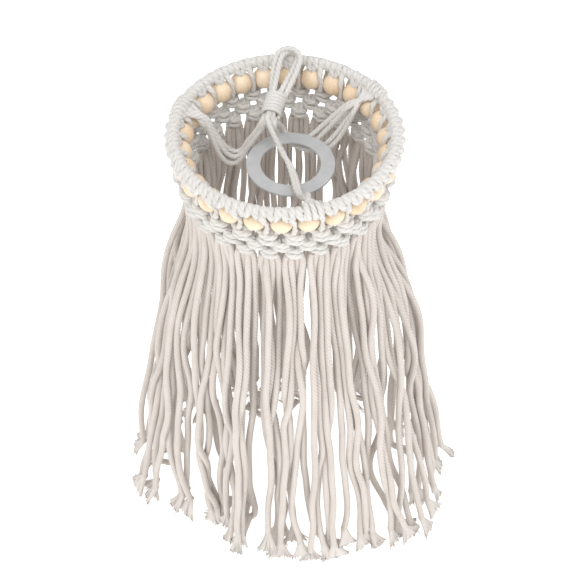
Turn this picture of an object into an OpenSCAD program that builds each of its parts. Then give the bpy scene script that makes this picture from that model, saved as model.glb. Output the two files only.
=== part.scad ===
// Hanging macrame lampshade: a cord-covered hoop with a row of wooden beads, a knotted net
// and a long fringe, three slack suspension legs with a hanging loop, and a loose socket ring.
// The shade stands on its fringe. The origin is the middle of the footprint, and +Z is up.

/* [Hoop] */
// Diameter of the hoop, to the middle of its wire
hoop_d = 150; // [148:1:154]
// Thickness of the hoop wire
wire_d = 3.5; // [2:0.5:5]
// Thickness of the hoop with the cords hitched round it
hitched_d = 8; // [7.5:0.5:10]
// Height of the hoop's middle above the surface under the fringe
hoop_height = 410; // [380:5:500]

/* [Beads] */
// Number of beads, and of knots in each row of the net
bead_count = 26; // [24:1:26]
// Diameter of a bead
bead_d = 16.5; // [14:0.5:16.5]
// Diameter of the hole through a bead
bead_hole_d = 4.6; // [3:0.2:5]

/* [Net] */
// Number of rows of knots
net_rows = 3; // [2:1:3]
// Height from one row of knots to the next
row_pitch = 8.2; // [8.2:0.1:10]
// Diameter of a knot
knot_d = 11.6; // [9:0.2:12]
// Thickness of a knot, from the inside of the shade to the outside
knot_t = 7; // [5:0.5:8]

/* [Suspension] */
// Diameter of a leg, a bundle of four cords
leg_d = 7.5; // [6:0.5:7.5]
// Diameter of each limb of the hanging loop
loop_d = 6.2; // [5:0.2:6.6]
// Number of turns in the gathering wrap
wrap_turns = 6; // [4:1:6]
// Diameter of the cord in the gathering wrap
wrap_cord_d = 2.7; // [2:0.1:2.7]
// Angle between the hanging loop and the vertical, leaning on the hoop
loop_lean = 75; // [60:1:75]

/* [Socket ring] */
// Diameter of the hole for the lamp holder
socket_hole_d = 42; // [40:0.5:43]
// Width of the flat ring, from its hole to its edge
socket_rim_w = 10; // [6:0.5:10]
// Thickness of the ring
socket_t = 2; // [1.5:0.1:2]

/* [Hidden] */
// Names of the fringe locks, one below each bead
lock_names = [for (i = [1:bead_count]) str("fringe_lock_", i)];
row_names = [for (k = [1:net_rows]) str("net_row_", k)];

$fn = 64;
cord_colour = [0.85, 0.82, 0.78];
wrap_colour = [0.90, 0.88, 0.85];
bead_colour = [0.93, 0.80, 0.62];
wire_colour = [0.62, 0.62, 0.64];
ring_colour = [0.86, 0.88, 0.90];

// Play between pieces of one body that lie against each other
touch_gap = 0.05;
// Play between a bead and the cords above and below it
bead_gap = 0.2;
hoop_r = hoop_d / 2;
pitch_angle = 360 / bead_count;
// Turn of the first bead from the X axis, so that a bead stands beside the front leg
shade_turn = 5;

// The beads hang against the inside of the hoop, and the net under the beads
bead_inset = 4;
bead_ring_r = hoop_r - bead_inset;
bead_drop = sqrt(pow(hitched_d / 2 + bead_gap + bead_d / 2, 2) - pow(bead_inset, 2));
bead_cord_d = bead_hole_d - 0.2;
side_cord_d = 3.6;
side_cord_r = hoop_r + 5.6;
side_cord_spread = 2;
cord_top = hitched_d / 2 + touch_gap;
bead_cord_top = touch_gap + sqrt(pow(hitched_d / 2, 2) - pow(bead_inset - bead_cord_d / 2, 2));
first_row_drop = bead_drop + bead_d / 2 + bead_gap + knot_d / 2;
row_inset = 1.75;
first_row_r = hoop_r - 2.5;
knot_edge_r = 2;
row_cord_d = 3.6;

// Sections of a fringe lock: drop below the hoop, radius towards X, radius towards Y,
// half the width of the lock and half its thickness
lock_top_drop = first_row_drop + (net_rows - 1) * row_pitch + knot_d / 2 + bead_gap;
lock_sections = [
    [lock_top_drop, 69, 69, 6.5, 3.6],
    [76, 66, 66, 6.8, 3.8],
    [130, 80, 74, 7.5, 4.2],
    [188, 95, 81, 8.2, 4.5],
    [265, 109, 86, 8.8, 4.8],
    [355, 128, 92, 9.4, 5.2],
    [hoop_height, 137, 95, 9.8, 5.5]];
lock_sides = 8;

// The three legs are hitched to the hoop at these angles
left_leg_angle = 161;
right_leg_angle = 33;
front_leg_angle = 284;
leg_hitch_angle = 12;

// Routes of the legs, from the hoop to the gather, from the middle of the hoop
left_leg_route = [
    [-62.5, 21.5, 1.5], [-56.5, 20.5, -7], [-52, 20.5, -18.5], [-48, 20.5, -31], [-43, 20.5, -40.5],
    [-37, 21, -44], [-31, 21.5, -39.5], [-26.5, 21.5, -30.5], [-21, 19.5, -20.5], [-16.5, 16.5, -13]];
right_leg_route = [
    [55.5, 36, 3.5], [49, 33, -7], [43, 31.5, -18], [36.5, 30, -29], [29.5, 28.5, -37.5],
    [21.5, 27.5, -40.5], [13, 28.5, -40.5], [5, 33, -39.5], [-2, 38, -37], [-5, 38, -31],
    [-8, 34.5, -25], [-9, 29.5, -21], [-10, 23.5, -18], [-10.5, 18.5, -14.8]];
front_leg_route = [
    [16, -64, 3.5], [14, -56, -5], [12, -46, -16], [10, -36, -25], [8, -27, -27.5],
    [6, -16, -27.5], [3, -5, -26], [-1.5, 3, -22.5], [-6, 8, -17.5], [-9.5, 11, -13]];
leg_sides = 8;

// The legs meet in the gather, on which the wrap and the loop tilt
gather_at = [-11.5, 16.5, -6.5];
gather_d = 11;
hanger_turn = -16;
wrap_start = 6;
wrap_pitch = wrap_cord_d - 0.1;
wrap_ring_r = 5.8;
wrap_end = wrap_start + (wrap_turns - 1) * wrap_pitch + wrap_cord_d;
wrapped_d = 2 * wrap_ring_r - wrap_cord_d - 2 * touch_gap;

// One limb of the hanging loop: sideways from its axis, and along it from the gather
loop_half_w = 7;
loop_arc_at = 55;
loop_limb = [[3.4, wrap_end + 0.4], [4.2, 29], [5.4, 37], [6.6, 46]];
loop_arc_step = 22.5;
loop_sides = 10;

// The socket ring lies loose among the legs
socket_ring_at = [4, 3, -33];
socket_edge = 0.3;

// A closed skin through a list of rings of points
module skin(rings) {
    n = len(rings[0]);
    last = len(rings) - 1;
    points = [for (ring = rings) each ring];
    walls = [for (k = [0:last - 1], i = [0:n - 1])
        let (j = (i + 1) % n, low = k * n, high = low + n)
        each [[low + i, high + j, low + j], [low + i, high + i, high + j]]];
    start_face = [[for (i = [0:n - 1]) i]];
    end_face = [[for (i = [n - 1:-1:0]) last * n + i]];
    polyhedron(points, concat(walls, start_face, end_face));
}

// Direction of a route at its point k
function heading(route, k) =
    let (ahead = route[min(k + 1, len(route) - 1)], behind = route[max(k - 1, 0)])
    (ahead - behind) / norm(ahead - behind);

// Ring of points round point k of a route, square to the route
function cord_ring(route, k, d, sides, level) =
    let (along = heading(route, k), raw = cross(level, along), across = raw / norm(raw))
    [for (i = [0:sides - 1])
        route[k] + d / 2 * (cos(360 * i / sides) * across + sin(360 * i / sides) * cross(along, across))];

// A cord of diameter d along a route; level is a direction that the route never takes
module cord(route, d, level, sides) {
    skin([for (k = [0:len(route) - 1]) cord_ring(route, k, d, sides, level)]);
}

// Puts children at the hoop's height
module at_hoop() {
    translate([0, 0, hoop_height]) children();
}

// Puts children, drawn upright from the gather, along the leaning hanger
module on_hanger() {
    at_hoop() translate(gather_at) rotate([0, 0, hanger_turn]) rotate([-loop_lean, 0, 0]) children();
}

// A stretch of the cords hitched round the wire, from one angle over the next
module hitches(from, angle) {
    color(wrap_colour) at_hoop() rotate([0, 0, from]) rotate_extrude(angle = angle, $fn = 128)
        translate([hoop_r, 0]) difference() {
            circle(d = hitched_d);
            circle(d = wire_d + 2 * touch_gap);
        }
}

module hoop_wire() {
    color(wire_colour) at_hoop() rotate_extrude($fn = 128) translate([hoop_r, 0]) circle(d = wire_d);
}

// The hitches of the fringe cords fill the hoop between the three legs
module hoop_hitches() {
    starts = [right_leg_angle, left_leg_angle, front_leg_angle];
    for (k = [0:2]) {
        from = starts[k] + leg_hitch_angle / 2;
        span = (starts[(k + 1) % 3] - starts[k] + 360) % 360 - leg_hitch_angle;
        hitches(from, span);
    }
}

module leg_hitches(angle) {
    hitches(angle - leg_hitch_angle / 2, leg_hitch_angle);
}

// One bead with its hole along Z
module bead() {
    difference() {
        sphere(d = bead_d);
        cylinder(d = bead_hole_d, h = 2 * bead_d, center = true);
    }
}

// Repeats children round the shade, shifted by a part of the pitch
module round_the_shade(radius, drop, shift) {
    for (i = [0:bead_count - 1])
        at_hoop() rotate([0, 0, shade_turn + (i + shift) * pitch_angle]) translate([radius, 0, -drop])
            children();
}

module beads() {
    color(bead_colour) round_the_shade(bead_ring_r, bead_drop, 0) bead();
}

// The cords that run through the beads, from the hoop to the first row of knots
module bead_cords() {
    bottom = first_row_drop - row_cord_d / 2 - touch_gap;
    color(cord_colour) round_the_shade(bead_ring_r, bottom, 0)
        cylinder(d = bead_cord_d, h = bottom - bead_cord_top);
}

// The pairs of cords that run down outside the beads, between one bead and the next
module side_cords() {
    bottom = first_row_drop - knot_d / 2 - touch_gap;
    color(cord_colour) round_the_shade(side_cord_r, bottom, 0.5)
        for (side = [-1, 1])
            translate([0, side * side_cord_spread, 0]) cylinder(d = side_cord_d, h = bottom - cord_top);
}

// A square knot as a thick button with a rounded edge, its axis across the net
module knot() {
    rotate([0, 90, 0]) rotate_extrude() {
        translate([0, -knot_t / 2]) square([knot_d / 2 - knot_edge_r, knot_t]);
        translate([0, knot_edge_r - knot_t / 2]) square([knot_d / 2, knot_t - 2 * knot_edge_r]);
        for (side = [-1, 1])
            translate([knot_d / 2 - knot_edge_r, side * (knot_t / 2 - knot_edge_r)])
                intersection() {
                    circle(r = knot_edge_r);
                    translate([0, -knot_edge_r]) square([knot_edge_r, 2 * knot_edge_r]);
                }
    }
}

// One row of knots on the cord that joins them; the first row hangs between the beads, and each
// row below is shifted by half a knot
module net_row(k) {
    radius = first_row_r - k * row_inset;
    drop = first_row_drop + k * row_pitch;
    color(cord_colour) union() {
        at_hoop() translate([0, 0, -drop]) rotate_extrude($fn = 128)
            translate([radius, 0]) circle(d = row_cord_d);
        round_the_shade(radius, drop, (k + 1) / 2) knot();
    }
}

// One level section of a fringe lock, an oval across the direction from the axis
function lock_section(section, angle) =
    let (out = [cos(angle), sin(angle), 0], along = [-sin(angle), cos(angle), 0],
        middle = [section[1] * cos(angle), section[2] * sin(angle), hoop_height - section[0]])
    [for (i = [0:lock_sides - 1])
        let (turn = 360 * i / lock_sides)
        middle + section[3] * cos(turn) * along + section[4] * sin(turn) * out];

// Four fringe cords that hang together from a knot of the last row, spreading towards the surface
module fringe_lock(i) {
    angle = shade_turn + (i + net_rows / 2) * pitch_angle;
    color(cord_colour) skin([for (section = lock_sections) lock_section(section, angle)]);
}

// A slack leg of suspension cords
module leg(route, level) {
    color(wrap_colour) at_hoop() cord(route, leg_d, level, leg_sides);
}

// The bundle where the legs come together
module leg_gather() {
    color(wrap_colour) at_hoop() translate(gather_at) sphere(d = gather_d);
}

// The neat turns round the suspension cords
module gathering_wrap() {
    color(wrap_colour) on_hanger() rotate_extrude() {
        for (k = [0:wrap_turns - 1])
            translate([wrap_ring_r, wrap_start + wrap_cord_d / 2 + k * wrap_pitch]) circle(d = wrap_cord_d);
    }
}

module wrapped_cords() {
    color(cord_colour) on_hanger() translate([0, 0, wrap_start])
        cylinder(d = wrapped_d, h = wrap_end - wrap_start);
}

// The suspension cords folded into an eye above the wrap
module hanging_loop() {
    right = [for (p = loop_limb) [p[0], 0, p[1]]];
    arc = [for (turn = [0:loop_arc_step:180])
        [loop_half_w * cos(turn), 0, loop_arc_at + loop_half_w * sin(turn)]];
    left = [for (k = [len(loop_limb) - 1:-1:0]) [-loop_limb[k][0], 0, loop_limb[k][1]]];
    color(wrap_colour) on_hanger() cord(concat(right, arc, left), loop_d, [0, 1, 0], loop_sides);
}

// The flat plastic ring that a lamp holder clamps, its edges slightly broken
module socket_ring() {
    inner = socket_hole_d / 2;
    outer = inner + socket_rim_w;
    half = socket_t / 2;
    color(ring_colour) at_hoop() translate(socket_ring_at) rotate_extrude($fn = 128) polygon([
        [inner, socket_edge - half], [inner + socket_edge, -half],
        [outer - socket_edge, -half], [outer, socket_edge - half],
        [outer, half - socket_edge], [outer - socket_edge, half],
        [inner + socket_edge, half], [inner, half - socket_edge]]);
}

hoop_wire();
hoop_hitches();
leg_hitches(left_leg_angle);  // left_leg_hitches
leg_hitches(right_leg_angle);  // right_leg_hitches
leg_hitches(front_leg_angle);  // front_leg_hitches
beads();
bead_cords();
side_cords();
for (k = [0:net_rows - 1]) net_row(k);
for (i = [0:bead_count - 1]) fringe_lock(i);
leg(left_leg_route, [0, 1, 0]);  // left_leg
leg(right_leg_route, [0, 1, 0]);  // right_leg
leg(front_leg_route, [1, 0, 0]);  // front_leg
leg_gather();
gathering_wrap();
wrapped_cords();
hanging_loop();
socket_ring();
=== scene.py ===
import math

import bpy
import numpy as np
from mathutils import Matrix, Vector


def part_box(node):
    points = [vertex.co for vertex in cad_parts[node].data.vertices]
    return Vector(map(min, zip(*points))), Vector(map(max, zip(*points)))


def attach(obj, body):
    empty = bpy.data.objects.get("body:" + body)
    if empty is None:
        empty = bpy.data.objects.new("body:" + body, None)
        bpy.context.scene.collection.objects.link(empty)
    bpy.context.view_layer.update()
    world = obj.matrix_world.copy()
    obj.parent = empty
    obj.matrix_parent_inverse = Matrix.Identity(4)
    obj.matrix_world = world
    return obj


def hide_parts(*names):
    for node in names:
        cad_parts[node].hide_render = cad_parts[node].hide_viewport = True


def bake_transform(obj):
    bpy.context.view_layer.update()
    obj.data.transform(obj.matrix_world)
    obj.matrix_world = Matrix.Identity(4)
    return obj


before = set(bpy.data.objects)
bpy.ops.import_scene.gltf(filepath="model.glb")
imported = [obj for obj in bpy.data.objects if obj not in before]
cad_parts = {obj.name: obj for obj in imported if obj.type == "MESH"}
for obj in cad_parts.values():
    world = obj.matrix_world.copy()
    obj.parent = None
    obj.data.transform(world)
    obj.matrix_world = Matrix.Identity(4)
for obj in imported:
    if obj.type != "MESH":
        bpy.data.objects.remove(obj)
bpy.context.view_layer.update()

# ---------------------------------------------------------------- sizes taken from the frame
wire_low, wire_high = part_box("hoop_wire")
HOOP_Z = (wire_low.z + wire_high.z) / 2
WIRE_R = (wire_high.z - wire_low.z) / 2
HOOP_R = wire_high.x - WIRE_R
BEADS = sum(node.startswith("fringe_lock_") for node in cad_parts)
PITCH = 2 * math.pi / BEADS
PITCH_LENGTH = PITCH * HOOP_R
SHADE_TURN = math.radians(5)     # direction of the first bead, from the X axis
bead_low, bead_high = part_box("beads")
BEAD_R = (bead_high.z - bead_low.z) / 2
BEAD_DROP = HOOP_Z - (bead_high.z + bead_low.z) / 2
ROWS = sorted(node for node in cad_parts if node.startswith("net_row_"))
BEAD_RING_R = HOOP_R - 0.004     # the middles of the beads lie a little inside the hoop's wire
KNOT_HALF_T = 0.0035             # half the thickness of a knot, across the shade's wall
MM = 0.001

# ---------------------------------------------------------------- the cotton cord
CORD_R = 0.0023         # radius of a free cord at the net
LOOSENING = 0.26        # share by which it has swollen further down, where its twist is loose
SWELL_RATE = 1.7        # how fast it swells on the way down
NET_CORD_R = 0.00215    # radius of the cord in a knot
LEG_CORD_R = 0.0019     # radius of a suspension cord
LAY_LENGTH = 0.0120     # length in which a ply goes once round a knotted or laid cord
FRINGE_LAY = (0.0200, 0.0260)   # the same for a fringe strand, at the net and at its end
LAY_UNIT = 0.002        # length of cord that is one unit of the lay coordinates
# Outlines of the cords' sections, as shares of the radius
CORD_OUTLINE = (1.0, 0.95, 0.79, 0.95) * 3      # three plies, each from its crown through the groove
FRINGE_OUTLINE = (1.0, 0.84) * 6                # six fine plies
ROUND_OUTLINE = (1.0,) * 10                     # the smooth cord of the gathering wrap
YARN_OUTLINE = (1.0,) * 5                       # a bunch of yarns in a frayed end
PRESS_SPREAD = 0.6      # how much a pressed cord widens, as a share of what it is flattened
STEP = 0.0011           # distance between the rings of a cord's mesh

# The frayed end of a fringe strand: a brush of yarns on a closed wedge of fibres
BRUSH_LENGTH = (0.011, 0.018)           # shortest and longest
BRUSH_HALF_WIDTH = (0.0055, 0.0130)     # narrowest and widest, at its tip
BRUSH_DEPTH = 0.0016                    # half the thickness of the wedge at its tip
BRUSH_NECK = 1.1                        # half its thickness at the cord, in radii of the cord
BRUSH_REACH = (-0.15, 0.86)             # from inside the cord to short of the tip, in brush lengths
BRUSH_RAGGED = (0.90, 1.06)             # range of the wedge's outline, as a share
BRUSH_SIDES, BRUSH_RINGS = 28, 9
BRUSH_STREAKS = 4                       # how much finer the streaks round it are than a cord's
BRUSH_LIFT = 0.0002                     # its lowest height above the floor
YARNS = 34                              # bunches of yarns on the wedge
YARN_R = 0.0008                         # radius of a bunch
YARN_START = 0.003                      # how far up in the cord they start
YARN_ROOT = 0.0016                      # their spread where they leave the cord
YARN_DEPTH = (0.0024, 0.0026)           # their spread through the brush, half way and at its tip
YARN_WANDER = (0.0003, 0.0006)          # how far they stray there
LAID_SHARE = 0.12                       # share of the strands whose ends lie on the floor
LAID_LENGTH = (0.020, 0.030)            # shortest and longest stretch that lies there

# Drop below the hoop, radius towards X and radius towards Y of the fringe
FRINGE_SHAPE = np.array([
    [0.0460, 0.0690, 0.0690],
    [0.0760, 0.0660, 0.0660],
    [0.1300, 0.0825, 0.0740],
    [0.1880, 0.0980, 0.0810],
    [0.2650, 0.1115, 0.0860],
    [0.3550, 0.1280, 0.0920],
    [0.4100, 0.1370, 0.0950],
])

# Where the ends of the fringe lie: degrees round the shade, and distance from its axis
FEET = np.array([
    [0, 0.142], [25, 0.120], [60, 0.094], [90, 0.084], [120, 0.090], [150, 0.112], [175, 0.134],
    [190, 0.138], [203, 0.122], [214, 0.094], [230, 0.086], [246, 0.095], [262, 0.091], [277, 0.095],
    [290, 0.107], [303, 0.109], [312, 0.123], [322, 0.130], [332, 0.148], [341, 0.130], [350, 0.148]])

# Openings between strands: degrees round the shade, drop below the hoop, half the width
GAPS = [(50, 0.080, 0.0040), (36, 0.072, 0.0030), (150, 0.080, 0.0040), (120, 0.108, 0.0045),
        (64, 0.122, 0.0040), (206, 0.214, 0.0030), (264, 0.190, 0.0020), (275, 0.185, 0.0030)]

# Places where strands sag into the shade: degrees, drop below the hoop, how far in
SAGS = [(356, 0.088, 0.015), (338, 0.096, 0.009)]

# Routes of the three legs from the hoop to the gather, from the middle of the hoop
LEFT_LEG = [
    (-0.0625, 0.0215, 0.0015), (-0.0565, 0.0205, -0.0070), (-0.0520, 0.0205, -0.0185),
    (-0.0480, 0.0205, -0.0310), (-0.0430, 0.0205, -0.0405), (-0.0370, 0.0210, -0.0440),
    (-0.0310, 0.0215, -0.0395), (-0.0265, 0.0215, -0.0305), (-0.0210, 0.0195, -0.0205),
    (-0.0165, 0.0165, -0.0130)]
RIGHT_LEG = [
    (0.0555, 0.0360, 0.0035), (0.0490, 0.0330, -0.0070), (0.0430, 0.0315, -0.0180),
    (0.0365, 0.0300, -0.0290), (0.0295, 0.0285, -0.0375), (0.0215, 0.0275, -0.0405),
    (0.0130, 0.0285, -0.0405), (0.0050, 0.0330, -0.0395), (-0.0020, 0.0380, -0.0370),
    (-0.0050, 0.0380, -0.0310), (-0.0080, 0.0345, -0.0250), (-0.0090, 0.0295, -0.0210),
    (-0.0100, 0.0235, -0.0180), (-0.0105, 0.0185, -0.0148)]
FRONT_LEG = [
    (0.0160, -0.0640, 0.0035), (0.0140, -0.0560, -0.0050), (0.0120, -0.0460, -0.0160),
    (0.0100, -0.0360, -0.0250), (0.0080, -0.0270, -0.0275), (0.0060, -0.0160, -0.0275),
    (0.0030, -0.0050, -0.0260), (-0.0015, 0.0030, -0.0225), (-0.0060, 0.0080, -0.0175),
    (-0.0095, 0.0110, -0.0130)]

# Direction of each leg's hitches from the middle of the hoop
LEG_ANGLES = {"left": math.radians(161), "right": math.radians(33), "front": math.radians(284)}

random = np.random.default_rng(7)


# ---------------------------------------------------------------- camera, light and floor
def make_camera():
    """The photograph's view: from in front, 43 degrees above the hoop, the object filling the frame."""
    distance, elevation = 0.850, math.radians(43)
    lens, sensor = 77.8, 36.0
    hoop_on_sensor = (-0.2793, 9.8069)      # the hoop's middle, in mm from the middle of the sensor
    centre = Vector((0, 0, HOOP_Z))
    away = Vector((0, -math.cos(elevation), math.sin(elevation)))
    aim_down = elevation + math.atan(hoop_on_sensor[1] / lens)
    aim_side = math.atan(-hoop_on_sensor[0] / lens) / math.cos(aim_down)
    camera = bpy.data.objects.new("camera", bpy.data.cameras.new("camera"))
    camera.location = centre + away * distance
    camera.rotation_euler = (math.pi / 2 - aim_down, 0, -aim_side)
    camera.data.lens = lens
    camera.data.sensor_width = sensor
    camera.data.clip_start = 0.01
    bpy.context.scene.collection.objects.link(camera)
    bpy.context.scene.camera = camera


def make_area_light(name, place, aim, size, power, colour):
    """A soft square light at place, turned towards aim."""
    light = bpy.data.lights.new(name, "AREA")
    light.size = size
    light.energy = power
    light.color = colour
    lamp = bpy.data.objects.new(name, light)
    lamp.location = place
    lamp.rotation_euler = (Vector(aim) - Vector(place)).to_track_quat("-Z", "Y").to_euler()
    bpy.context.scene.collection.objects.link(lamp)


def make_studio():
    """A white sky, three soft lamps and a pale floor."""
    scene = bpy.context.scene
    scene.view_settings.view_transform = "Standard"
    world = bpy.data.worlds.new("studio")
    world.use_nodes = True
    world.node_tree.nodes["Background"].inputs["Color"].default_value = (1.0, 1.0, 1.0, 1)
    world.node_tree.nodes["Background"].inputs["Strength"].default_value = 0.66
    scene.world = world
    make_area_light("key", (-0.9, -1.0, 1.6), (0, 0, 0.30), 1.0, 7, (1.0, 0.99, 0.97))
    make_area_light("top", (0.1, -0.55, 1.7), (0, 0.05, 0.30), 0.7, 7, (1.0, 1.0, 1.0))
    make_area_light("fill", (1.1, -0.6, 1.1), (0, 0, 0.2), 1.0, 3, (0.97, 0.98, 1.0))
    size = 6.0
    floor = make_mesh("floor", [(-size, -size, 0), (size, -size, 0), (size, size, 0), (-size, size, 0)],
                      [(0, 1, 2, 3)])
    paper = plain_material("studio_floor", (0.95, 0.95, 0.95), 0.9)
    paper.node_tree.nodes["Principled BSDF"].inputs["Emission Color"].default_value = (1, 1, 1, 1)
    paper.node_tree.nodes["Principled BSDF"].inputs["Emission Strength"].default_value = 0.75
    floor.data.materials.append(paper)


# ---------------------------------------------------------------- meshes
def make_mesh(name, vertices, faces):
    mesh = bpy.data.meshes.new(name)
    mesh.from_pydata(vertices, [], faces)
    mesh.validate()
    piece = bpy.data.objects.new(name, mesh)
    bpy.context.scene.collection.objects.link(piece)
    return piece


def smooth_path(points, step=STEP):
    """A Catmull-Rom curve through the points, as places about step apart."""
    p = np.asarray(points, float)
    p = np.vstack([2 * p[0] - p[1], p, 2 * p[-1] - p[-2]])
    fine = []
    for k in range(1, len(p) - 2):
        count = max(int(np.linalg.norm(p[k + 1] - p[k]) / step * 2), 2)
        t = np.linspace(0, 1, count, endpoint=False)[:, None]
        fine.append(0.5 * (2 * p[k] + (p[k + 1] - p[k - 1]) * t
                           + (2 * p[k - 1] - 5 * p[k] + 4 * p[k + 1] - p[k + 2]) * t ** 2
                           + (3 * p[k] - p[k - 1] - 3 * p[k + 1] + p[k + 2]) * t ** 3))
    fine = np.vstack(fine + [p[-2][None]])
    return even_path(fine, step)


def even_path(points, step=STEP):
    """The same line with its places an even step apart."""
    run = np.concatenate([[0], np.cumsum(np.linalg.norm(np.diff(points, axis=0), axis=1))])
    at = np.linspace(0, run[-1], max(int(round(run[-1] / step)), 2) + 1)
    return np.stack([np.interp(at, run, points[:, k]) for k in range(3)], 1)


def path_frames(path):
    """Direction of a path at each place, and two directions across it that don't spin."""
    along = np.gradient(path, axis=0)
    along /= np.linalg.norm(along, axis=1)[:, None]
    side = np.zeros_like(path)
    first = np.cross(along[0], (0.31, 0.77, 0.55))
    side[0] = first / np.linalg.norm(first)
    for k in range(1, len(path)):
        moved = side[k - 1] - along[k] * (side[k - 1] @ along[k])
        side[k] = moved / np.linalg.norm(moved)
    return along, side, np.cross(along, side)


def length_along(path):
    return np.concatenate([[0], np.cumsum(np.linalg.norm(np.diff(path, axis=0), axis=1))])


def cord_mesh(path, radius, phase=0.0, swell=None, outline=CORD_OUTLINE, lay_length=LAY_LENGTH, press=None):
    """A tube of the given outline, twisted along a path: its points, its faces and, for each point,
    its place in the cord's own section and along its lay. swell scales each ring, and press gives
    for each ring a direction in which the cord is flattened, as long as the share it loses."""
    along, side, over = path_frames(path)
    run = length_along(path)
    outline = np.asarray(outline)
    count = len(outline)
    turn = 2 * math.pi * np.arange(count) / count
    twist = np.cumsum(np.gradient(run) / lay_length)
    angle = turn[None, :] + (phase - 2 * math.pi * twist)[:, None]
    size = np.full(len(path), radius) if swell is None else radius * swell
    reach = size[:, None] * outline[None, :]
    offset = ((np.cos(angle) * reach)[..., None] * side[:, None]
              + (np.sin(angle) * reach)[..., None] * over[:, None])
    if press is not None:
        share = np.linalg.norm(press, axis=1) + 1e-9
        way = press / share[:, None]
        inward = np.einsum("rcx,rx->rc", offset, way)
        offset = offset * (1 + PRESS_SPREAD * share)[:, None, None]
        offset -= (inward * ((1 + PRESS_SPREAD) * share)[:, None])[..., None] * way[:, None]
    points = (path[:, None] + offset).reshape(-1, 3)
    lay = np.stack([np.broadcast_to(np.cos(turn) * outline, angle.shape),
                    np.broadcast_to(np.sin(turn) * outline, angle.shape),
                    np.broadcast_to(run[:, None] / LAY_UNIT, angle.shape)], -1).reshape(-1, 3)
    ring = np.arange(len(path) - 1)[:, None] * count
    here, after = np.arange(count)[None, :], (np.arange(count)[None, :] + 1) % count
    quads = np.stack([ring + here, ring + after, ring + count + after, ring + count + here], -1)
    faces = quads.reshape(-1, 4).tolist()
    faces.append(list(range(count - 1, -1, -1)))
    faces.append(list(range((len(path) - 1) * count, len(path) * count)))
    return points, faces, lay


def join_parts(name, parts, material):
    """One piece from several cord meshes, with their lay coordinates."""
    vertices, faces, lays, start = [], [], [], 0
    for points, part_faces, lay in parts:
        vertices.append(points)
        faces.extend([[index + start for index in face] for face in part_faces])
        lays.append(lay)
        start += len(points)
    mesh = bpy.data.meshes.new(name)
    mesh.from_pydata(np.vstack(vertices).tolist(), [], faces)
    attribute = mesh.attributes.new("lay", "FLOAT_VECTOR", "POINT")
    attribute.data.foreach_set("vector", np.vstack(lays).astype(np.float32).ravel())
    mesh.shade_smooth()
    mesh.materials.append(material)
    piece = bpy.data.objects.new(name, mesh)
    bpy.context.scene.collection.objects.link(piece)
    return piece


def lathe(profile, segments):
    """Points and faces of a closed profile of (radius, height) turned round the Z axis."""
    profile = np.asarray(profile, float)
    turn = 2 * math.pi * np.arange(segments) / segments
    points = np.stack([np.outer(np.cos(turn), profile[:, 0]), np.outer(np.sin(turn), profile[:, 0]),
                       np.tile(profile[:, 1], (segments, 1))], -1).reshape(-1, 3)
    count = len(profile)
    k, i = np.meshgrid(np.arange(segments), np.arange(count), indexing="ij")
    after, beside = (k + 1) % segments, (i + 1) % count
    quads = np.stack([k * count + i, after * count + i, after * count + beside, k * count + beside], -1)
    return points, quads.reshape(-1, 4)


# ---------------------------------------------------------------- materials
def plain_material(name, colour, roughness):
    material = bpy.data.materials.new(name)
    material.use_nodes = True
    shader = material.node_tree.nodes["Principled BSDF"]
    shader.inputs["Base Color"].default_value = (*colour, 1)
    shader.inputs["Roughness"].default_value = roughness
    return material


def add_node(material, kind, **inputs):
    node = material.node_tree.nodes.new(kind)
    for socket, value in inputs.items():
        node.inputs[socket.replace("_", " ")].default_value = value
    return node


def connect(material, source, output, target, socket):
    material.node_tree.links.new(source.outputs[output], target.inputs[socket])


def colour_ramp(material, stops):
    """A ramp through (position, colour) stops."""
    ramp = material.node_tree.nodes.new("ShaderNodeValToRGB")
    elements = ramp.color_ramp.elements
    elements[0].position, elements[0].color = stops[0][0], (*stops[0][1], 1)
    elements[1].position, elements[1].color = stops[-1][0], (*stops[-1][1], 1)
    for position, colour in stops[1:-1]:
        elements.new(position).color = (*colour, 1)
    return ramp


def stretched_noise(material, scale, noise_scale, detail, coordinates, output):
    """Noise on coordinates that are stretched by scale first."""
    mapping = add_node(material, "ShaderNodeMapping", Scale=scale)
    noise = add_node(material, "ShaderNodeTexNoise", Scale=noise_scale, Detail=detail)
    connect(material, coordinates, output, mapping, "Vector")
    connect(material, mapping, "Vector", noise, "Vector")
    return noise


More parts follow.
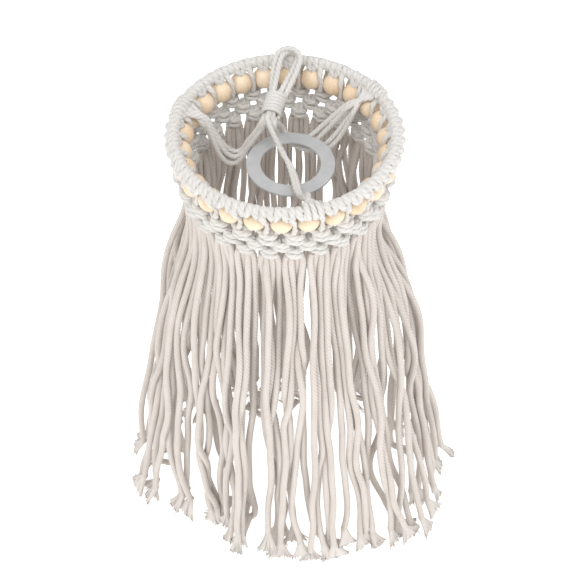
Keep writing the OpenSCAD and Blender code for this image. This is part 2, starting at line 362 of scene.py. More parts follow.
def make_cotton(name, light, dark, groove):
    """Twisted cotton: fibres along the plies, painted shade in the hollows between them, soft patches of
    tone.
    """
    material = plain_material(name, light, 0.92)
    shader = material.node_tree.nodes["Principled BSDF"]
    shader.inputs["Sheen Weight"].default_value = 0.2
    shader.inputs["Sheen Roughness"].default_value = 0.6
    shader.inputs["Specular IOR Level"].default_value = 0.15
    lay = material.node_tree.nodes.new("ShaderNodeAttribute")
    lay.attribute_name = "lay"
    fibres = stretched_noise(material, (1.0, 1.0, 0.15), 5.5, 2, lay, "Vector")
    place = material.node_tree.nodes.new("ShaderNodeTexCoord")
    patches = stretched_noise(material, (1.0, 1.0, 0.5), 60, 3, place, "Object")
    tone = add_node(material, "ShaderNodeMix")
    tone.inputs["Factor"].default_value = 0.45
    connect(material, fibres, "Fac", tone, "A")
    connect(material, patches, "Fac", tone, "B")
    ramp = colour_ramp(material, [(0.32, dark), (0.60, light)])
    connect(material, tone, "Result", ramp, "Fac")
    # Painted shade: the colour groove is multiplied into the base colour where the cord's section dips
    # between its plies
    across = add_node(material, "ShaderNodeVectorMath")
    across.operation = "MULTIPLY"
    across.inputs[1].default_value = (1, 1, 0)
    connect(material, lay, "Vector", across, 0)
    depth = add_node(material, "ShaderNodeVectorMath")
    depth.operation = "LENGTH"
    connect(material, across, "Vector", depth, 0)
    crown = add_node(material, "ShaderNodeMapRange", From_Min=0.74, From_Max=0.93)
    connect(material, depth, "Value", crown, "Value")
    shade = material.node_tree.nodes.new("ShaderNodeMixRGB")
    shade.blend_type = "MULTIPLY"
    shade.inputs["Fac"].default_value = 1.0
    groove_shade_ramp = colour_ramp(material, [(0.0, groove), (1.0, (1.0, 1.0, 1.0))])
    connect(material, crown, "Result", groove_shade_ramp, "Fac")
    connect(material, ramp, "Color", shade, "Color1")
    connect(material, groove_shade_ramp, "Color", shade, "Color2")
    connect(material, shade, "Color", shader, "Base Color")
    bump = add_node(material, "ShaderNodeBump", Strength=0.7, Distance=0.00015)
    connect(material, fibres, "Fac", bump, "Height")
    connect(material, bump, "Normal", shader, "Normal")
    return material


def make_bead_wood():
    """Pale turned maple: long faint grain along the bore, a satin surface."""
    material = plain_material("bead_wood", (0.80, 0.60, 0.40), 0.45)
    shader = material.node_tree.nodes["Principled BSDF"]
    place = material.node_tree.nodes.new("ShaderNodeTexCoord")
    grain = stretched_noise(material, (1.0, 1.0, 0.08), 900, 4, place, "Object")
    figure = stretched_noise(material, (1.0, 1.0, 0.35), 70, 2, place, "Object")
    mix = add_node(material, "ShaderNodeMath")
    mix.operation = "MULTIPLY"
    connect(material, grain, "Fac", mix, 0)
    connect(material, figure, "Fac", mix, 1)
    ramp = colour_ramp(material, [(0.12, (0.78, 0.58, 0.38)), (0.24, (0.87, 0.69, 0.49)),
                                  (0.38, (0.91, 0.76, 0.58))])
    connect(material, mix, "Value", ramp, "Fac")
    connect(material, ramp, "Color", shader, "Base Color")
    bump = add_node(material, "ShaderNodeBump", Strength=0.25, Distance=0.0001)
    connect(material, grain, "Fac", bump, "Height")
    connect(material, bump, "Normal", shader, "Normal")
    return material


def make_frosted_plastic():
    """Frosted translucent plastic with a faint moulded haze."""
    material = plain_material("frosted_plastic", (0.78, 0.80, 0.82), 0.5)
    shader = material.node_tree.nodes["Principled BSDF"]
    shader.inputs["Transmission Weight"].default_value = 0.25
    shader.inputs["IOR"].default_value = 1.45
    place = material.node_tree.nodes.new("ShaderNodeTexCoord")
    haze = stretched_noise(material, (1.0, 1.0, 1.0), 120, 4, place, "Object")
    ramp = colour_ramp(material, [(0.35, (0.61, 0.62, 0.64)), (0.65, (0.68, 0.69, 0.70))])
    connect(material, haze, "Fac", ramp, "Fac")
    connect(material, ramp, "Color", shader, "Base Color")
    grit = stretched_noise(material, (1.0, 1.0, 1.0), 2500, 2, place, "Object")
    bump = add_node(material, "ShaderNodeBump", Strength=0.15, Distance=0.00005)
    connect(material, grit, "Fac", bump, "Height")
    connect(material, bump, "Normal", shader, "Normal")
    return material


def make_wire_steel():
    """Drawn steel wire with fine scratches."""
    material = plain_material("hoop_steel", (0.55, 0.55, 0.57), 0.4)
    shader = material.node_tree.nodes["Principled BSDF"]
    shader.inputs["Metallic"].default_value = 1.0
    place = material.node_tree.nodes.new("ShaderNodeTexCoord")
    scratches = stretched_noise(material, (1.0, 1.0, 6.0), 400, 3, place, "Object")
    bump = add_node(material, "ShaderNodeBump", Strength=0.2, Distance=0.0001)
    connect(material, scratches, "Fac", bump, "Height")
    connect(material, bump, "Normal", shader, "Normal")
    return material


# ---------------------------------------------------------------- the knotted part of the shade
def on_shade(pitches, radius, drop):
    """A point of the shade: round it in bead pitches, out from its axis, down from the hoop."""
    angle = SHADE_TURN + pitches * PITCH
    return (radius * math.cos(angle), radius * math.sin(angle), HOOP_Z - drop)


def row_place(row):
    """Radius and drop of a row of knots, from the frame."""
    low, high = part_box(ROWS[row])
    return max(high.x, high.y) - KNOT_HALF_T, HOOP_Z - (low.z + high.z) / 2


ROW_PLACES = [row_place(row) for row in range(len(ROWS))]

# Routes of the two halves of a lark's head knot round the wire, from the middle of its front bar:
# (share of the knot's half width, out from the wire's middle in mm, down from it in mm). One ends
# outside the hoop, under the bar, and the other inside it.
OUTER_HITCH = [
    (0.0, 4.7, 1.6), (0.7, 4.5, 1.8), (1.1, 3.2, 2.2), (1.15, 1.1, 3.0), (1.1, -1.2, 2.7),
    (1.1, -2.7, 1.1), (1.05, -2.8, -0.8), (1.0, -1.6, -2.4), (1.0, 0.4, -2.9), (1.0, 2.1, -2.0),
    (1.0, 2.9, 0.0), (1.0, 3.5, 2.6)]
INNER_HITCH = [
    (0.0, 4.7, 1.6), (0.7, 4.3, 0.9), (1.1, 3.2, -0.9), (1.1, 1.8, -2.3), (1.1, -0.2, -2.9),
    (1.1, -2.1, -2.0), (1.0, -2.8, -0.3), (0.9, -3.1, 1.6)]
HITCH_HALF_WIDTH = 0.122    # of a lark's head knot, in bead pitches
HITCH_PRESS = 0.40          # share by which the wire flattens a cord that lies on it
PRESS_FROM = 0.0056         # distance from the wire's middle at which that starts
PRESS_OVER = 0.0020         # how much nearer to it the flattening is complete
SQUEEZE = 0.30              # share by which the beads thin a side cord between them
BEAD_LEAN = 0.045           # distance of a bead's two cords from the middle of its bore, in pitches
GROOVE = 3.8 * MM           # distance of a side cord from the beads' ring, in the groove between them
KNOT_SLACK = 0.25 * MM      # how far a strand strays from its place in a knot

# A square knot: (sideways, up, out) in mm for a working cord that starts on the left in front,
# for one that starts on the right behind, and for a core cord left of the middle
WORKING_LEFT = [
    (-4.7, 4.3, 0.8), (-2.6, 3.2, 2.9), (0.0, 2.7, 3.5), (2.6, 2.2, 2.9), (4.6, 1.2, 0.5),
    (4.3, -0.1, -1.9), (2.4, -1.2, -3.0), (0.0, -1.8, -3.5), (-2.6, -2.4, -2.9), (-4.7, -3.3, -0.7),
    (-4.9, -4.6, 0.2)]
WORKING_RIGHT = [
    (4.7, 4.3, -0.8), (2.6, 3.0, -2.9), (0.0, 2.4, -3.5), (-2.6, 2.1, -2.9), (-4.6, 1.1, -0.4),
    (-4.3, -0.3, 1.9), (-2.4, -1.1, 3.0), (0.0, -1.6, 3.5), (2.6, -2.2, 2.9), (4.7, -3.3, 0.7),
    (4.9, -4.6, -0.2)]
CORE_LEFT = [(-1.8, 3.8, 0.2), (-1.6, 1.6, 0.3), (-1.6, -1.6, -0.2), (-1.9, -4.2, 0.0)]
CORE_RIGHT = [(-x, y, -z) for x, y, z in CORE_LEFT]
KNOT_ROUTES = [WORKING_LEFT, CORE_LEFT, CORE_RIGHT, WORKING_RIGHT]


def knot_slots():
    """For each row, the strands (bead, place of four) that each knot ties, from left to right."""
    rows = [[[(k, 2), (k, 3), ((k + 1) % BEADS, 0), ((k + 1) % BEADS, 1)] for k in range(BEADS)]]
    while len(rows) < len(ROWS):
        above, shifted = rows[-1], len(rows) % 2
        pairs = [(above[k - 1], above[k]) if shifted else (above[k], above[(k + 1) % BEADS])
                 for k in range(BEADS)]
        rows.append([left[2:] + right[:2] for left, right in pairs])
    return rows


SLOTS = knot_slots()


def knot_at(row, knot):
    """Where a knot is, in bead pitches."""
    return knot + (0.5 if row % 2 == 0 else 0.0)


def strand_stops():
    """For each strand, its knots: row, knot and slot, from the top down."""
    stops = {(k, j): [] for k in range(BEADS) for j in range(4)}
    for row, knots in enumerate(SLOTS):
        for knot, strands in enumerate(knots):
            for slot, strand in enumerate(strands):
                stops[strand].append((row, knot, slot))
    return stops


def pressed_on_hoop(path):
    """For each place of a path, the direction in which the hoop's wire flattens the cord there."""
    plan = np.hypot(path[:, 0], path[:, 1])
    beyond = 1 - HOOP_R / plan
    out = np.stack([path[:, 0] * beyond, path[:, 1] * beyond, path[:, 2] - HOOP_Z], 1)
    reach = np.linalg.norm(out, axis=1)
    share = HITCH_PRESS * np.clip((PRESS_FROM - reach) / PRESS_OVER, 0, 1)
    return out / reach[:, None] * share[:, None]


def squeezed_by_beads(path):
    """For each place of a side cord's path, the share of its radius that the beads beside it leave."""
    from_beads = (HOOP_Z - BEAD_DROP - path[:, 2]) / (0.7 * BEAD_R)
    return 1 - SQUEEZE * np.exp(-from_beads ** 2)


def near(pitches, target):
    """The same place round the shade as target, counted on from pitches."""
    return target + BEADS * round((pitches - target) / BEADS)


def knotted_path(bead, place, stops):
    """Route of a strand from the front bar of its hitch, past or through a bead, to its last knot.
    Places 1 and 2 go through the bead, 0 down the groove behind the beads and 3 down the one in front."""
    centre = bead + (-0.25 if place < 2 else 0.25)
    side = -1 if place % 2 == 0 else 1
    route = [on_shade(centre + side * share * HITCH_HALF_WIDTH, HOOP_R + out * MM, down * MM)
             for share, out, down in (OUTER_HITCH if place == 3 else INNER_HITCH)]
    if place in (1, 2):
        lean = -BEAD_LEAN if place == 1 else BEAD_LEAN
        route += [on_shade(bead + lean, BEAD_RING_R, BEAD_DROP - 0.8 * BEAD_R),
                  on_shade(bead + lean, BEAD_RING_R, BEAD_DROP),
                  on_shade(bead + lean, BEAD_RING_R + 0.5 * MM, BEAD_DROP + 0.9 * BEAD_R)]
    elif place == 0:
        route += [on_shade(bead - 0.43, HOOP_R - 7.0 * MM, 0.0050),
                  on_shade(bead - 0.49, BEAD_RING_R - GROOVE, BEAD_DROP),
                  on_shade(bead - 0.47, BEAD_RING_R - 3.0 * MM, BEAD_DROP + 0.8 * BEAD_R)]
    else:
        route += [on_shade(bead + 0.43, HOOP_R + 3.4 * MM, 0.0058),
                  on_shade(bead + 0.49, BEAD_RING_R + GROOVE, BEAD_DROP),
                  on_shade(bead + 0.47, BEAD_RING_R + 4.0 * MM, BEAD_DROP + 0.8 * BEAD_R)]
    for row, knot, slot in stops:
        radius, drop = ROW_PLACES[row]
        middle = near(bead, knot_at(row, knot))
        slack = random.normal(0, KNOT_SLACK, 3)
        for across, up, out in KNOT_ROUTES[slot]:
            route.append(on_shade(middle + (across * MM + slack[0]) / PITCH_LENGTH,
                                  radius + out * MM + slack[1], drop - up * MM + slack[2]))
    return smooth_path(route)


# ---------------------------------------------------------------- the fringe
FRINGE_LEVELS = 80      # places at which a hanging strand is worked out
FLOOR_REST = 0.0030     # height of the middle line of a strand that lies on the floor

# Smooth wander of the strands: how many places a random curve has, and its spread there
TURN_WAVE, TURN_RIPPLE, LOCK_WAVE = (7, 0.026), (17, 0.011), (5, 0.030)     # round the shade, radians
DEPTH_WAVE, DEPTH_RIPPLE = (6, 0.0030), (14, 0.0008)                        # in and out, metres
LOOSE_TURN = 0.07                               # spread of the turn that a strand's end has gained
LAYERS = [-0.0026, 0.0, 0.0026]                 # the strands hang in three layers
DRAWN_IN_FRONT, DRAWN_IN_BACK = 0.14, 0.26      # share of the radius, and what the back has more
GAP_RADIUS = 0.070      # radius of the shade at which GAPS gives half the width of an opening
GAP_FADE = 0.16         # angle beyond an opening over which the strands close up again
GAP_HEIGHT = 0.026      # half the height of an opening
SAG_TURN, SAG_HEIGHT = 0.12, 0.030              # half the angle of a sag, and half its height
PUSH_ROUNDS = 40        # times that strands which lie in each other are pushed apart
PUSH_KEEP = 0.94        # distance that they keep, as a share of a cord's thickness
PUSH_STEP = 0.35        # share of an overlap that is taken away each time
PUSH_SMOOTH = 0.4       # how much their lines are smoothed each time


def wall_radius(angle, drop, share):
    """Distance of the fringe from the axis: an oval that widens downwards and ends in FEET."""
    radius_x = np.interp(drop, FRINGE_SHAPE[:, 0], FRINGE_SHAPE[:, 1])
    radius_y = np.interp(drop, FRINGE_SHAPE[:, 0], FRINGE_SHAPE[:, 2])
    oval = np.hypot(radius_x * np.cos(angle), radius_y * np.sin(angle))
    floor_oval = np.hypot(FRINGE_SHAPE[-1, 1] * np.cos(angle), FRINGE_SHAPE[-1, 2] * np.sin(angle))
    foot = np.interp(np.degrees(angle) % 360, FEET[:, 0], FEET[:, 1], period=360)
    return oval * (1 + (foot / floor_oval - 1) * share ** 1.6)


def waves(count, knots, spread):
    """Smooth random curves of about spread, one for each strand, that start at nothing."""
    coarse = random.normal(0, spread, (count, knots))
    coarse[:, 0] = 0
    at = np.linspace(0, knots - 1, FRINGE_LEVELS)
    k = np.clip(at.astype(int), 0, knots - 2)
    t = at - k
    t = t * t * (3 - 2 * t)
    return coarse[:, k] * (1 - t) + coarse[:, k + 1] * t


def turned_from(angle, degrees):
    """Signed angle from a direction given in degrees."""
    return (angle - math.radians(degrees) + math.pi) % (2 * math.pi) - math.pi


def hang_fringe(starts, laid):
    """Routes of the fringe strands from their last knots to the floor, kept from lying in each other.
    laid is the length that each strand has left over to lie on the floor."""
    count = len(starts)
    share = np.linspace(0, 1, FRINGE_LEVELS)[None, :]
    top_drop = (HOOP_Z - starts[:, 2])[:, None]
    drop = top_drop + (HOOP_Z - FLOOR_REST - top_drop) * share
    angle = np.arctan2(starts[:, 1], starts[:, 0])[:, None]
    angle = angle + waves(count, *TURN_WAVE) + waves(count, *TURN_RIPPLE)
    angle = angle + waves(BEADS, *LOCK_WAVE)[np.arange(count) // 4] * share
    angle = angle + random.normal(0, LOOSE_TURN, count)[:, None] * share ** 2.2
    for degrees, level, half_width in GAPS:
        apart = turned_from(angle, degrees)
        opened = half_width / GAP_RADIUS * np.sign(apart) * np.exp(-np.abs(apart) / GAP_FADE)
        angle = angle + opened * np.exp(-((drop - level) / GAP_HEIGHT) ** 2)
    radius = wall_radius(angle, drop, share) + waves(count, *DEPTH_WAVE) + waves(count, *DEPTH_RIPPLE)
    drawn_in = DRAWN_IN_FRONT + DRAWN_IN_BACK * np.clip(np.sin(angle), 0, 1)
    radius -= (radius * random.random(count)[:, None] ** 2 * drawn_in + laid[:, None]) * share ** 2
    for degrees, level, inward in SAGS:
        radius -= inward * np.exp(-(turned_from(angle, degrees) / SAG_TURN) ** 2
                                  - ((drop - level) / SAG_HEIGHT) ** 2)
    radius += random.choice(LAYERS, count)[:, None] * np.clip(share * 6, 0, 1)
    path = np.stack([radius * np.cos(angle), radius * np.sin(angle), HOOP_Z - drop], -1)
    settle = np.clip(share * 10, 0, 1)[..., None]
    settle = settle * settle * (3 - 2 * settle)
    plumb = np.concatenate([np.broadcast_to(starts[:, None, :2], path[..., :2].shape), path[..., 2:]], -1)
    return push_apart(plumb * (1 - settle) + path * settle)


def push_apart(path):
    """Moves strands sideways, level by level, until they hardly touch, and keeps their lines smooth."""
    flat = path[:, :, :2].copy()
    share = np.linspace(0, 1, flat.shape[1])
    free = np.clip(share * 12, 0, 1)[None, :, None]
    gap = (2 * CORD_R * PUSH_KEEP * (1 + LOOSENING * np.clip(SWELL_RATE * share, 0, 1)))[None, None, :]
    for _ in range(PUSH_ROUNDS):
        apart = flat[:, None] - flat[None, :]
        distance = np.linalg.norm(apart, axis=-1) + 1e-9
        press = np.clip(gap - distance, 0, None)
        press[np.arange(len(flat)), np.arange(len(flat))] = 0
        flat += (apart / distance[..., None] * press[..., None]).sum(1) * PUSH_STEP * free
        middle = 0.5 * flat[:, 1:-1] + 0.25 * (flat[:, :-2] + flat[:, 2:])
        flat[:, 1:-1] += (middle - flat[:, 1:-1]) * PUSH_SMOOTH * free[:, 1:-1]
    path = path.copy()
    path[:, :, :2] = flat
    return path


def cut_strand(path, length_left):
    """The strand cut off so that its frayed end just reaches the floor."""
    return path[path[:, 2] >= length_left]


def lay_down(path, reach, yaw):
    """The strand with its end laid outward on the floor."""
    end = path[-1]
    out = math.atan2(end[1], end[0]) + yaw
    heading = np.array([math.cos(out), math.sin(out), 0])
    return np.vstack([path[:-3], [end + heading * reach * share for share in (0.35, 0.7, 1.0)]])


def brush_body(end, along, across, thick, length, half_width):
    """The closed wedge of fibres inside a frayed end: round at the cord, wide and thin at its tip."""
    count, levels = BRUSH_SIDES, np.linspace(*BRUSH_REACH, BRUSH_RINGS)
    turn = 2 * math.pi * np.arange(count) / count
    ragged = random.uniform(*BRUSH_RAGGED, count)
    points, lay = [], []
    for level in levels:
        open_share = np.clip(level, 0, 1)
        wide = BRUSH_NECK * CORD_R * (1 - open_share) + half_width * open_share
        deep = BRUSH_NECK * CORD_R * (1 - open_share) + BRUSH_DEPTH * open_share
        reach = length * level * (ragged if level == levels[-1] else 1.0)
        ring = (end + np.outer(np.cos(turn) * ragged, across * wide)
                + np.outer(np.sin(turn) * ragged, thick * deep))
        points.append(ring + np.outer(reach * np.ones(count), along))
        lay.append(np.stack([BRUSH_STREAKS * np.cos(turn), BRUSH_STREAKS * np.sin(turn),
                             np.full(count, length * level / LAY_UNIT)], 1))
    points = np.vstack(points)
    points[:, 2] = np.maximum(points[:, 2], BRUSH_LIFT)
    faces = [[ring * count + k, ring * count + (k + 1) % count, (ring + 1) * count + (k + 1) % count,
              (ring + 1) * count + k] for ring in range(len(levels) - 1) for k in range(count)]
    faces += [list(range(count - 1, -1, -1)), list(range((len(levels) - 1) * count, len(levels) * count))]
    return points, faces, np.vstack(lay)


def frayed_end(path, length, half_width):
    """The untwisted yarns of a cord's end, spread into a brush."""
    end = path[-1]
    outward = np.array([end[0], end[1], 0]) / math.hypot(end[0], end[1])
    along = path[-1] - path[-4]
    along = along / np.linalg.norm(along) + outward * random.uniform(0.2, 0.9)
    along /= np.linalg.norm(along)
    tangent = np.cross((0, 0, 1), outward)
    lean = random.normal(0, 0.2)
    out = np.cross(tangent, along)
    across = tangent * math.cos(lean) + out * math.sin(lean)
    across -= along * (across @ along)
    across /= np.linalg.norm(across)
    thick = np.cross(along, across)
    parts = [brush_body(end, along, across, thick, length, half_width)]
    for yarn in range(YARNS):
        side = (yarn + random.uniform(0.1, 0.9)) / YARNS * 2 - 1
        depth = random.uniform(-1, 1) * math.sqrt(1 - side * side)
        start = end - along * YARN_START + (across * side + thick * depth) * YARN_ROOT
        tip_length = length * random.uniform(0.8, 1.0)
        tip = end + along * tip_length + across * side * half_width + thick * depth * YARN_DEPTH[1]
        middle = (end + along * tip_length * 0.45 + across * side * half_width * 0.42
                  + thick * depth * YARN_DEPTH[0])
        middle += random.normal(0, YARN_WANDER[0], 3)
        tip += random.normal(0, YARN_WANDER[1], 3)
        route = smooth_path([start, middle, tip], 0.003)
        route[:, 2] = np.maximum(route[:, 2], YARN_R)
        parts.append(cord_mesh(route, YARN_R, 0.0, np.linspace(1.0, 0.7, len(route)), YARN_OUTLINE))
    return parts


def fringe_strand(path, phase):
    """Mesh of one fringe strand, swelling towards its loose end."""
    share = np.clip((HOOP_Z - path[:, 2]) / HOOP_Z, 0, 1)
    swell = 1 + LOOSENING * np.clip(SWELL_RATE * share - 0.15, 0, 1)
    swell[-1] *= 0.85
    return cord_mesh(path, CORD_R, phase, swell, FRINGE_OUTLINE, np.interp(share, (0.1, 1.0), FRINGE_LAY))


# ---------------------------------------------------------------- building
# The last colour of each cotton is its painted shade in the hollows between the plies; white gives the
# yarns none
cotton = make_cotton("cotton_cord",
                     (0.74, 0.725, 0.705), (0.67, 0.65, 0.625), (0.88, 0.84, 0.79))
# A lighter copy of the fringe cotton for the frayed yarns: painted light that offsets the shadow they cast
# on each other
lightened_yarn_cotton = make_cotton("lightened_yarn_cotton",
                          (0.76, 0.715, 0.675), (0.65, 0.60, 0.55), (1.0, 1.0, 1.0))
fringe_cotton = make_cotton("fringe_cotton",
                            (0.73, 0.685, 0.65), (0.62, 0.57, 0.525), (0.74, 0.66, 0.58))
wood = make_bead_wood()
plastic = make_frosted_plastic()
steel = make_wire_steel()


def build_knotted_part():
    """Hitches, bead cords and net: one piece for the four strands of each bead. Gives back where
    each strand leaves its last knot."""
    stops, ends = strand_stops(), {}
    for bead in range(BEADS):
        parts = []
        for place in range(4):
            path = knotted_path(bead, place, stops[(bead, place)])
            ends[(bead, place)] = path[-1]
            swell = squeezed_by_beads(path) if place in (0, 3) else None
            parts.append(cord_mesh(path, NET_CORD_R, random.uniform(0, 6), swell,
                                   press=pressed_on_hoop(path)))
        piece = join_parts(f"knotted_cords_{bead + 1}", parts, cotton)
        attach(piece, "shade")
        if bead == 0:
            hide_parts("hoop_hitches", "bead_cords", "side_cords", *ROWS)
    return ends


def finish_strand(path, laid):
    """Path of a strand with its end cut or laid down, and the meshes of its frayed end."""
    length = random.uniform(*BRUSH_LENGTH)
    half_width = random.uniform(*BRUSH_HALF_WIDTH)
    if laid > 0:
        path = smooth_path(lay_down(path, laid - length, random.normal(0, 0.4)))
        path[:, 2] = np.maximum(path[:, 2], FLOOR_REST)
    else:
        path = smooth_path(cut_strand(path, 0.75 * length + abs(random.normal(0, 0.005))))
    return path, frayed_end(path, length, half_width)


def build_fringe(ends):
    """The free cords below the net: for each lock one cord as a piece of its own and three more joined in
    one piece.
    """
    order = [strand for knot in SLOTS[-1] for strand in knot]
    lies = random.random(len(order)) < LAID_SHARE
    laid = np.where(lies, random.uniform(*LAID_LENGTH, len(order)), 0.0)
    paths = hang_fringe(np.array([ends[strand] for strand in order]), laid)
    for lock in range(BEADS):
        parts, yarns = [], []
        for slot in range(4):
            path, brush = finish_strand(paths[4 * lock + slot], laid[4 * lock + slot])
            strand = fringe_strand(path, random.uniform(0, 6))
            yarns += brush
            if slot == 1:
                cord = join_parts(f"fringe_cord_{lock + 1}", [strand], fringe_cotton)
                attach(cord, "shade")
                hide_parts(f"fringe_lock_{lock + 1}")
            else:
                parts.append(strand)
        for name, meshes, material in (("fringe_cords", parts, fringe_cotton),
                                       ("frayed_yarns", yarns, lightened_yarn_cotton)):
            piece = join_parts(f"{name}_{lock + 1}", meshes, material)
            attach(piece, "shade")


def build_beads():
    """Turned balls with a rounded bore."""
    hole, lip = 0.0021, 0.0005      # radius of the bore, and how far its edge is rounded
    start = math.asin((hole + lip) / BEAD_R)
    arc = np.linspace(start, math.pi - start, 22)
    outer = [(BEAD_R * math.sin(t), BEAD_R * math.cos(t)) for t in arc]
    top = outer[0][1]
    edge, rise = hole + 0.3 * lip, top - 0.2 * lip
    bore = [(edge, -rise), (hole, -top + lip), (hole, 0.0), (hole, top - lip), (edge, rise)]
    profile = outer + bore
    points, quads = lathe(profile, 36)
    vertices, faces = [], []
    for bead in range(BEADS):
        spin = random.uniform(0, 2 * math.pi)
        turned = points.copy()
        turned[:, 0] = points[:, 0] * math.cos(spin) - points[:, 1] * math.sin(spin)
        turned[:, 1] = points[:, 0] * math.sin(spin) + points[:, 1] * math.cos(spin)
        vertices.append(turned + np.array(on_shade(bead, BEAD_RING_R, BEAD_DROP)))
        faces.append(quads[:, ::-1] + bead * len(points))
    piece = make_mesh("bead_row", np.vstack(vertices).tolist(), np.vstack(faces).tolist())
    piece.data.shade_smooth()
    piece.data.materials.append(wood)
    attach(piece, "shade")
    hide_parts("beads")


# ---------------------------------------------------------------- the suspension
GATHER = Vector((-0.0115, 0.0165, HOOP_Z - 0.0065))     # where the legs come together
LOOP_LEAN = math.radians(75)        # from upright, towards the back
HANGER_TURN = math.radians(-16)     # turn of that lean from the Y axis
WRAP_START, WRAP_PITCH, WRAP_TURNS = 0.0060, 0.0026, 6.4    # the turns along the hanger
WRAP_RING_R, WRAP_CORD_R = 0.0058, 0.00135                  # radius of the coil and of its cord
LIMB_CORD_R = 0.0021        # radius of a cord in the hanging loop and inside the wrap
LIMB_TWIST = 0.0020         # radius at which the loop's two strands go round each other
CORE_RING_R = 0.0024        # radius of the ring of cords inside the wrap
LEG_BUNDLE_R = 0.0015       # radius of a leg's bundle where it enters the wrap
LEG_SPREAD = 0.0021         # radius of a leg's bundle where it doesn't sag
HITCH_TURNS, FRONT_HITCH_TURNS = 4, 3
HITCH_TURN_R = 0.0046               # radius of a turn round the hoop
HITCH_WIDTH = math.radians(11.5)    # angle of the hoop that HITCH_TURNS cover

# The loop, seen from its front, in mm across it and along it from the gather: one limb upwards,
# then the half width and the height of the arch and the place where it starts
LOOP_LIMB = [(-3.2, 16.0), (-3.4, 22.0), (-4.4, 29.0), (-5.6, 37.0), (-6.8, 46.0)]
ARCH_HALF_WIDTH, ARCH_HEIGHT, ARCH_START = 7.2, 7.6, 54.0
LOOP_TWIST = 0.30       # turn of its two strands round each other from one point to the next

# For each leg: its route, how far its strands spread in its sag (mm), the share of its length over
# which they do, where they enter the wrap, and the plan points between which they pass from
# following the shade to following the gather
LEGS = {
    "left": (LEFT_LEG, [(0.5, -3.6, -2.4), (0, 1.6, -1.6), (2.4, -1.8, 2.6), (3.0, 2.6, 3.6)],
             1.0, (-0.0026, 0.0008), (-0.066, 0.0215), (-0.013, 0.017)),
    "right": (RIGHT_LEG, [(-12, 5, 1.5), (-7, 3.5, 0.5), (0, 0, 0), (3, -3, -0.5)],
              0.62, (0.0024, 0.0018), (0.020, 0.035), (-0.004, 0.014)),
    "front": (FRONT_LEG, [(-1.0, 0, 0.4), (1.4, 0, -0.2)],
              1.0, (0.0004, -0.0018), (0.017, -0.073), (0.003, -0.005)),
}


def on_hanger(x, y, s):
    """A point of the hanger: across the loop, out of its plane, and along the wrap from the gather."""
    leaned = Vector((x, y * math.cos(LOOP_LEAN) + s * math.sin(LOOP_LEAN),
                     -y * math.sin(LOOP_LEAN) + s * math.cos(LOOP_LEAN)))
    turned = Vector((leaned.x * math.cos(HANGER_TURN) - leaned.y * math.sin(HANGER_TURN),
                     leaned.x * math.sin(HANGER_TURN) + leaned.y * math.cos(HANGER_TURN), leaned.z))
    return tuple(GATHER + turned)


def bundle_offset(strand, count, radius):
    """Place of one strand in a round bundle."""
    angle = 2 * math.pi * (strand + 0.5) / count
    return radius * math.cos(angle), radius * math.sin(angle)


def leg_strand(leg, strand):
    """Path of one strand of a leg, from the inside of its hitch to the mouth of the wrap."""
    route, spreads, sag_share, mouth, _, _ = LEGS[leg]
    spread = np.array(spreads[strand]) * MM
    angle = LEG_ANGLES[leg] + HITCH_WIDTH * ((strand + 0.5) / len(spreads) - 0.5)
    inner = HOOP_R - HITCH_TURN_R
    points = [(inner * math.cos(angle), inner * math.sin(angle), HOOP_Z + 0.0005)]
    for k, middle in enumerate(route[1:-2]):
        share = (k + 1) / (len(route) - 1)
        sag = math.sin(math.pi * min(share / sag_share, 1.0))
        across = LEG_SPREAD * math.cos(math.pi * strand), LEG_SPREAD * math.sin(math.pi * (strand + 0.5))
        points.append((middle[0] + spread[0] * sag + across[0] * (1 - sag),
                       middle[1] + spread[1] * sag + across[1] * (1 - sag),
                       HOOP_Z + middle[2] + spread[2] * sag))
    x, y = bundle_offset(strand, len(spreads), LEG_BUNDLE_R)
    points += [on_hanger(mouth[0] * 1.3 + x, mouth[1] * 1.3 + y, -0.0010),
               on_hanger(mouth[0] + x, mouth[1] + y, 0.0050)]
    return smooth_path(points)


def build_legs():
    """The strands of the three legs, each bending from the hoop to the gather."""
    for leg, (_, spreads, _, _, start, end) in LEGS.items():
        for strand in range(len(spreads)):
            path = leg_strand(leg, strand)
            piece = join_parts(f"{leg}_leg_strand_{strand + 1}",
                               [cord_mesh(path, LEG_CORD_R, random.uniform(0, 6))], cotton)
            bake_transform(piece)
            if strand == 0:
                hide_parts(f"{leg}_leg")


def build_leg_hitches():
    """Neat turns of each leg round the hoop."""
    for leg, centre in LEG_ANGLES.items():
        turns = HITCH_TURNS if leg != "front" else FRONT_HITCH_TURNS
        width = HITCH_WIDTH * turns / HITCH_TURNS
        share = np.linspace(0, 1, 90)
        along = centre + width * (share - 0.5)
        round_tube = math.pi * 0.9 - 2 * math.pi * turns * share
        reach = HOOP_R + HITCH_TURN_R * np.cos(round_tube)
        path = np.stack([reach * np.cos(along), reach * np.sin(along),
                         HOOP_Z + HITCH_TURN_R * np.sin(round_tube)], 1)
        piece = join_parts(f"{leg}_hitch_turns", [cord_mesh(even_path(path), LEG_CORD_R, 0.0)], cotton)
        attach(piece, "shade")
        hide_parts(f"{leg}_leg_hitches")


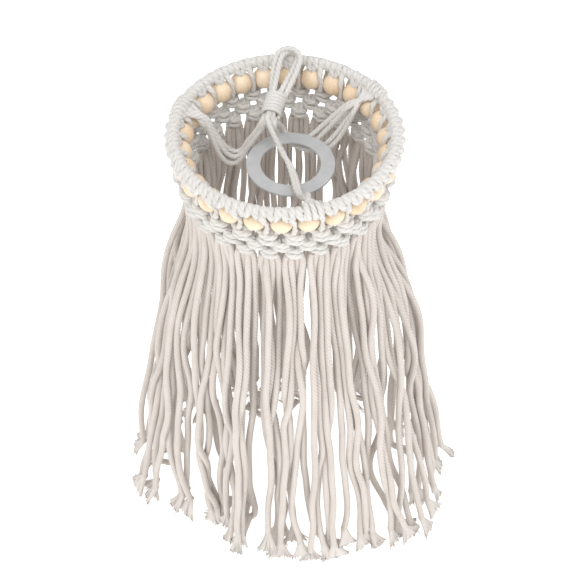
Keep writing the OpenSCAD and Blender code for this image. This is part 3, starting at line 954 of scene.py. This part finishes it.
def build_hanger():
    """The wrap, the cords inside it and the loop they make, with the bundle of cords below."""
    share = np.linspace(0, 1, 260)
    turn = 2 * math.pi * WRAP_TURNS * share
    coil = np.array([on_hanger(WRAP_RING_R * math.cos(a), WRAP_RING_R * math.sin(a),
                               WRAP_START + WRAP_PITCH * a / (2 * math.pi)) for a in turn])
    wrap = join_parts("wrap_turns",
                      [cord_mesh(even_path(coil, 0.0009), WRAP_CORD_R, outline=ROUND_OUTLINE)], cotton)
    loop_parts, core_parts, gather_parts = [], [], []
    arch = [(-ARCH_HALF_WIDTH * math.cos(t), ARCH_START + ARCH_HEIGHT * math.sin(t))
            for t in np.linspace(0, math.pi, 9)]
    flat = LOOP_LIMB + arch + [(-x, s) for x, s in reversed(LOOP_LIMB)]
    for strand in (-1, 1):
        points = []
        for k, (x, s) in enumerate(flat):
            twist = strand * math.pi / 2 + LOOP_TWIST * k
            points.append(on_hanger(x * MM + LIMB_TWIST * math.cos(twist), LIMB_TWIST * math.sin(twist),
                                    s * MM))
        loop_parts.append(cord_mesh(smooth_path(points), LIMB_CORD_R, 0.0))
    for strand in range(5):
        x, y = bundle_offset(strand, 5, CORE_RING_R)
        core = smooth_path([on_hanger(x, y, s) for s in (0.001, 0.008, 0.020)])
        below = smooth_path([on_hanger(0.7 * x, 0.7 * y, -0.001), on_hanger(x, y, 0.002),
                             on_hanger(x, y, 0.006)])
        core_parts.append(cord_mesh(core, LIMB_CORD_R, strand))
        gather_parts.append(cord_mesh(below, LIMB_CORD_R, strand))
    loop = join_parts("loop_strands", loop_parts, cotton)
    cores = join_parts("wrap_cores", core_parts, cotton)
    bundle = join_parts("gather_strands", gather_parts, cotton)
    for piece, body, node in ((wrap, "hanger", "gathering_wrap"), (loop, "hanger", "hanging_loop"),
                              (cores, "hanger", "wrapped_cords"), (bundle, "gather", "leg_gather")):
        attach(piece, body)
        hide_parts(node)


# ---------------------------------------------------------------- the scene
make_camera()
make_studio()
build_fringe(build_knotted_part())
build_beads()
build_legs()
build_leg_hitches()
build_hanger()
for node, material in (("socket_ring", plastic), ("hoop_wire", steel)):
    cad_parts[node].data.materials.clear()
    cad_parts[node].data.materials.append(material)
